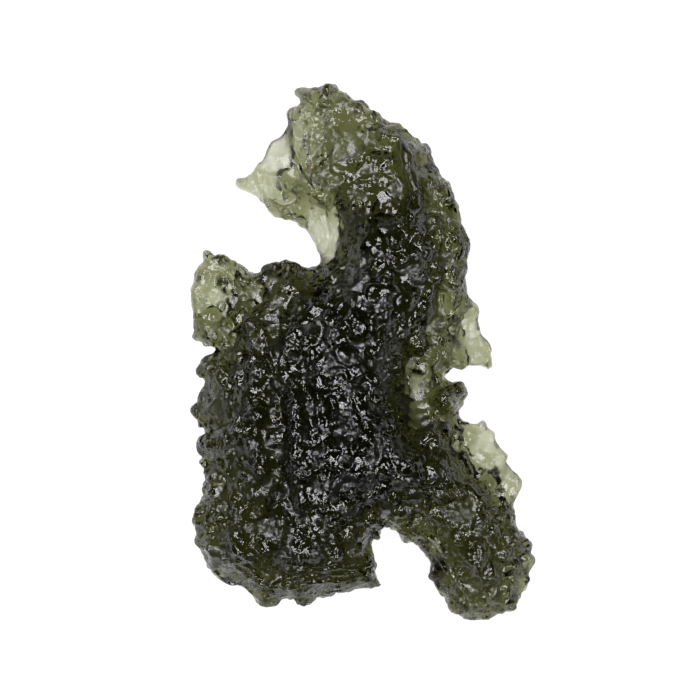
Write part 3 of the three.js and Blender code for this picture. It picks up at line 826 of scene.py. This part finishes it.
class Graph:
    """A node tree that is filled from Python."""

    def __init__(self, tree: bpy.types.NodeTree) -> None:
        """Starts from an empty tree."""
        self.tree = tree
        tree.nodes.clear()

    def node(self, kind: str, settings: dict[str, Any], sockets: dict[Any, Any]) -> bpy.types.Node:
        """Adds a node: its settings first, then its sockets' values or links.

        Args:
            kind: The node's type.
            settings: Properties of the node, such as a Math node's operation.
            sockets: Input name or number to a value, a socket or a signal.

        Returns:
            The new node.
        """
        node = self.tree.nodes.new(kind)
        for name, value in settings.items():
            setattr(node, name, value)
        for name, value in sockets.items():
            source = value.socket if isinstance(value, Signal) else value
            if isinstance(source, bpy.types.NodeSocket):
                self.tree.links.new(source, node.inputs[name])
            else:
                node.inputs[name].default_value = source
        return node

    def signal(self, kind: str, settings: dict[str, Any], sockets: dict[Any, Any], output: Any = 0) -> Signal:
        """Adds a node and wraps one of its outputs.

        Args:
            kind: The node's type.
            settings: Properties of the node.
            sockets: Input name or number to a value, a socket or a signal.
            output: Name or number of the output.

        Returns:
            The output as a signal.
        """
        return Signal(self, self.node(kind, settings, sockets).outputs[output])


@dataclass(frozen=True)
class Speck:
    """A grain of clay left in the glass's skin.

    Attributes:
        at: Its place, m.
        radius: Its size, m.
        colour: Its colour.
    """

    at: tuple[float, float, float]
    radius: float
    colour: Colour


@dataclass(frozen=True)
class GlassFinish:
    """Natural green glass with an etched, glossy skin.

    Attributes:
        name: Name of the material.
        ior: Index of refraction.
        absorb_colour: What one metre would keep, per unit of density.
        absorb_density: Strength of the absorption, 1/m.
        gloss: Lowest and highest roughness of the open skin.
        cloud_scale: How many patches of gloss there are in a metre.
        cloud_edge: Values of the noise at the edge of a patch.
        frosting: Roughness that a frosted skin has on top of that.
        grain: Size of the finest caps of the skin, m.
        grain_height: Their height, m.
        grain_blend: How softly they meet.
        ripples: How many ripples there are to a cap.
        ripple_height: Height of the ripples, as a share of the caps'.
        speck_core: Share of a speck's radius that hides the glass.
        clay_roughness: Roughness of the specks.
        specks: Clay grains.
    """

    name: str = "moldavite_glass"
    ior: float = 1.49
    absorb_colour: Colour = (0.485, 0.5, 0.26)
    absorb_density: float = 1520.0
    gloss: Range = (0.11, 0.28)
    cloud_scale: float = 800.0
    cloud_edge: Range = (0.44, 0.6)
    frosting: float = 0.22
    grain: float = 0.00038
    grain_height: float = 0.0001
    grain_blend: float = 0.3
    ripples: float = 1.3
    ripple_height: float = 0.4
    speck_core: float = 0.5
    clay_roughness: float = 0.9
    specks: tuple[Speck, ...] = (
        Speck((0.0020, 0.0057, 0.0067), 0.00026, (0.05, 0.03, 0.012)),
        Speck((-0.00325, 0.0116, 0.0048), 0.00016, (0.14, 0.07, 0.05)),
    )

    def share(self, graph: Graph, share: SkinShare) -> Signal:
        """One of the numbers that the skin carries."""
        return graph.signal("ShaderNodeAttribute", {"attribute_name": share.value}, {}, "Fac")

    def noise(self, graph: Graph, place: Any, scale: float, detail: float) -> Signal:
        """Cloudy noise from 0 to 1, with so many lumps in a metre and so many octaves on top."""
        sockets = {"Vector": place, "Scale": scale, "Detail": detail}
        return graph.signal("ShaderNodeTexNoise", {}, sockets, "Fac")

    def bump(self, graph: Graph, place: Any) -> bpy.types.NodeSocket:
        """The grain of the skin: small caps, -d^2 at the distance d from each one's middle, and ripples.

        Args:
            graph: The material's nodes.
            place: Object coordinates.

        Returns:
            The bumped normal.
        """
        etch = self.share(graph, SkinShare.ETCH)
        away = graph.signal(
            "ShaderNodeTexVoronoi",
            {"feature": "SMOOTH_F1"},
            {"Vector": place, "Scale": 1.0 / self.grain, "Smoothness": self.grain_blend},
            "Distance",
        )
        ripple = self.noise(graph, place, self.ripples / self.grain, 1.0)
        height = (self.ripple_height * ripple - away * away) * etch
        sockets = {"Height": height, "Strength": 1.0, "Distance": self.grain_height}
        return graph.node("ShaderNodeBump", {}, sockets).outputs["Normal"]

    def roughness(self, graph: Graph, place: Any) -> Signal:
        """Glossy and duller patches, rougher still where the skin is frosted.

        Args:
            graph: The material's nodes.
            place: Object coordinates.

        Returns:
            The roughness.
        """
        cloud = self.noise(graph, place, self.cloud_scale, 2.0)
        frost = self.share(graph, SkinShare.FROST)
        low, high = self.gloss
        return low + (high - low) * cloud.step(*self.cloud_edge) + self.frosting * frost

    def clay(self, graph: Graph, place: Any) -> tuple[bpy.types.NodeSocket, Any]:
        """The clay grains.

        Args:
            graph: The material's nodes.
            place: Object coordinates.

        Returns:
            Their colour, and how far they hide the glass.
        """
        colour: Any = (*self.specks[0].colour, 1.0)
        cover: Any = 0.0
        for speck in self.specks:
            ends = {0: place, 1: speck.at}
            gap = graph.signal("ShaderNodeVectorMath", {"operation": "DISTANCE"}, ends, "Value")
            near = 1.0 - gap.step(self.speck_core * speck.radius, speck.radius)
            sockets = {"Factor": near, 6: colour, 7: (*speck.colour, 1.0)}
            colour = graph.node("ShaderNodeMix", {"data_type": "RGBA"}, sockets).outputs[2]
            cover = near + cover
        return colour, cover

    def material(self) -> bpy.types.Material:
        """Builds the material: transmission with plain absorption, uneven gloss and a fine grain.

        Returns:
            The material.
        """
        made = bpy.data.materials.new(self.name)
        made.use_nodes = True
        graph = Graph(made.node_tree)
        place = graph.node("ShaderNodeTexCoord", {}, {}).outputs["Object"]
        normal = self.bump(graph, place)
        roughness = self.roughness(graph, place)
        colour, cover = self.clay(graph, place)
        glass = graph.node(
            "ShaderNodeBsdfPrincipled",
            {},
            {
                "Roughness": roughness,
                "IOR": self.ior,
                "Transmission Weight": 1.0,
                "Base Color": (1.0, 1.0, 1.0, 1.0),
                "Normal": normal,
            },
        )
        clay_sockets = {"Base Color": colour, "Roughness": self.clay_roughness}
        clay = graph.node("ShaderNodeBsdfPrincipled", {}, clay_sockets)
        shader = graph.node("ShaderNodeMixShader", {}, {0: cover, 1: glass.outputs[0], 2: clay.outputs[0]})
        absorption = graph.node(
            "ShaderNodeVolumeAbsorption",
            {},
            {"Color": (*self.absorb_colour, 1.0), "Density": self.absorb_density},
        )
        graph.node(
            "ShaderNodeOutputMaterial",
            {},
            {"Surface": shader.outputs[0], "Volume": absorption.outputs["Volume"]},
        )
        return made


@dataclass(frozen=True)
class LightTable:
    """The pale floor, which glows a little as a light table does.

    Attributes:
        side: Length of its sides, m.
        albedo: Share of the light that it throws back.
        glow: Its own radiance.
    """

    side: float = 4.0
    albedo: float = 0.16
    glow: float = 0.95

    def build(self) -> bpy.types.Object:
        """Makes the floor at height 0, under the stone.

        Returns:
            The floor.
        """
        half = self.side / 2.0
        mesh = bpy.data.meshes.new("floor")
        corners = [(-half, -half, 0.0), (half, -half, 0.0), (half, half, 0.0), (-half, half, 0.0)]
        mesh.from_pydata(corners, [], [(0, 1, 2, 3)])
        made = bpy.data.materials.new("pale_floor")
        made.use_nodes = True
        graph = Graph(made.node_tree)
        shade = (self.albedo, self.albedo, self.albedo, 1.0)
        matt = graph.node("ShaderNodeBsdfDiffuse", {}, {"Color": shade})
        glow = graph.node("ShaderNodeEmission", {}, {"Strength": self.glow})
        both = graph.node("ShaderNodeAddShader", {}, {0: matt.outputs[0], 1: glow.outputs[0]})
        graph.node("ShaderNodeOutputMaterial", {}, {"Surface": both.outputs[0]})
        mesh.materials.append(made)
        floor = bpy.data.objects.new("floor", mesh)
        bpy.context.scene.collection.objects.link(floor)
        floor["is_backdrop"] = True
        log.info("floor: %.1f m wide", self.side)
        return floor


@dataclass(frozen=True)
class Softbox:
    """A square soft light that faces the stone.

    Attributes:
        name: Name of the light.
        azimuth: Where it stands, degrees anticlockwise from +X, seen from above.
        elevation: Its height above the horizon, degrees.
        distance: From the stone, m.
        side: Length of its sides, m.
        radiance: How bright its face is.
        colour: Its colour.
    """

    name: str
    azimuth: float
    elevation: float
    distance: float
    side: float
    radiance: float
    colour: Colour = (0.97, 0.96, 1.0)

    def build(self) -> bpy.types.Object:
        """Makes the light, with the power that gives its face the radiance.

        Returns:
            The light.
        """
        light = bpy.data.lights.new(self.name, "AREA")
        light.shape = "SQUARE"
        light.size = self.side
        light.color = self.colour
        light.energy = math.pi * self.side * self.side * self.radiance
        lamp = bpy.data.objects.new(self.name, light)
        a, e = math.radians(self.azimuth), math.radians(self.elevation)
        way = Vector((math.cos(a) * math.cos(e), math.sin(a) * math.cos(e), math.sin(e)))
        lamp.location = self.distance * way
        lamp.rotation_euler = lamp.location.to_track_quat("Z", "Y").to_euler()
        bpy.context.scene.collection.objects.link(lamp)
        return lamp


@dataclass(frozen=True)
class Studio:
    """Soft studio light round the stone.

    Attributes:
        softboxes: The lights.
        horizon: Brightness of the surroundings at the horizon.
        overhead: Brightness of the surroundings overhead.
        dusk: Sines of the elevations between which they darken.
    """

    softboxes: tuple[Softbox, ...] = (
        Softbox("softbox_left", 128.0, 62.0, 0.6, 0.34, 10.5),
        Softbox("softbox_right", 345.0, 58.0, 0.6, 0.26, 9.5),
        Softbox("softbox_front", 235.0, 52.0, 0.6, 0.26, 8.0),
    )
    horizon: float = 0.36
    overhead: float = 0.02
    dusk: Range = (0.02, 0.22)

    def build(self) -> None:
        """Makes the lights and the surroundings, which darken from the horizon up."""
        for softbox in self.softboxes:
            softbox.build()
        world = bpy.data.worlds.new("studio")
        world.use_nodes = True
        graph = Graph(world.node_tree)
        ray = graph.node("ShaderNodeTexCoord", {}, {}).outputs["Generated"]
        height = graph.signal("ShaderNodeSeparateXYZ", {}, {0: ray}, "Z")
        strength = self.horizon - (self.horizon - self.overhead) * height.step(*self.dusk)
        sky = graph.node("ShaderNodeBackground", {}, {"Strength": strength})
        graph.node("ShaderNodeOutputWorld", {}, {"Surface": sky.outputs[0]})
        bpy.context.scene.world = world
        log.info("studio: %d softboxes", len(self.softboxes))


@dataclass(frozen=True)
class Shot:
    """The camera, straight above the stone.

    Attributes:
        lens: Focal length, mm.
        sensor: Sensor width, mm.
        frame_px: Width and height of the picture.
        length_px: Length of the stone in the picture.
        centre_px: Middle of the stone in the picture.
        rim_height: Height of the stone's outline above the floor, m.
        clip: Nearest and furthest distance that it sees, m.
    """

    lens: float = 200.0
    sensor: float = 36.0
    frame_px: float = 700.0
    length_px: float = 535.5
    centre_px: Point = (362.5, 352.5)
    rim_height: float = 0.0035
    clip: Range = (0.01, 20.0)

    def build(self, low: Vector, high: Vector) -> bpy.types.Object:
        """Places the camera so that the stone has its size and place in the picture.

        Args:
            low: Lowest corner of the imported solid.
            high: Highest corner.

        Returns:
            The camera.
        """
        per_px = (high.y - low.y) / self.length_px
        distance = per_px * self.frame_px * self.lens / self.sensor
        middle = (low + high) / 2.0
        half = self.frame_px / 2.0
        data = bpy.data.cameras.new("camera")
        data.lens = self.lens
        data.sensor_width = self.sensor
        data.clip_start, data.clip_end = self.clip
        camera = bpy.data.objects.new("camera", data)
        camera.location = (
            middle.x + (half - self.centre_px[0]) * per_px,
            middle.y + (self.centre_px[1] - half) * per_px,
            self.rim_height + distance,
        )
        bpy.context.scene.collection.objects.link(camera)
        bpy.context.scene.camera = camera
        bpy.context.scene.view_settings.view_transform = "Standard"
        log.info("camera: %.0f mm above the rim", distance / MM)
        return camera


def main() -> None:
    """Builds the camera, the stone, the floor and the light, in that order."""
    logging.basicConfig(level=logging.INFO, format="%(name)s: %(message)s")
    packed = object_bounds()
    Shot().build(*packed)
    Stone().build(GlassFinish())
    LightTable().build()
    Studio().build()


if __name__ == "__main__":
    main()
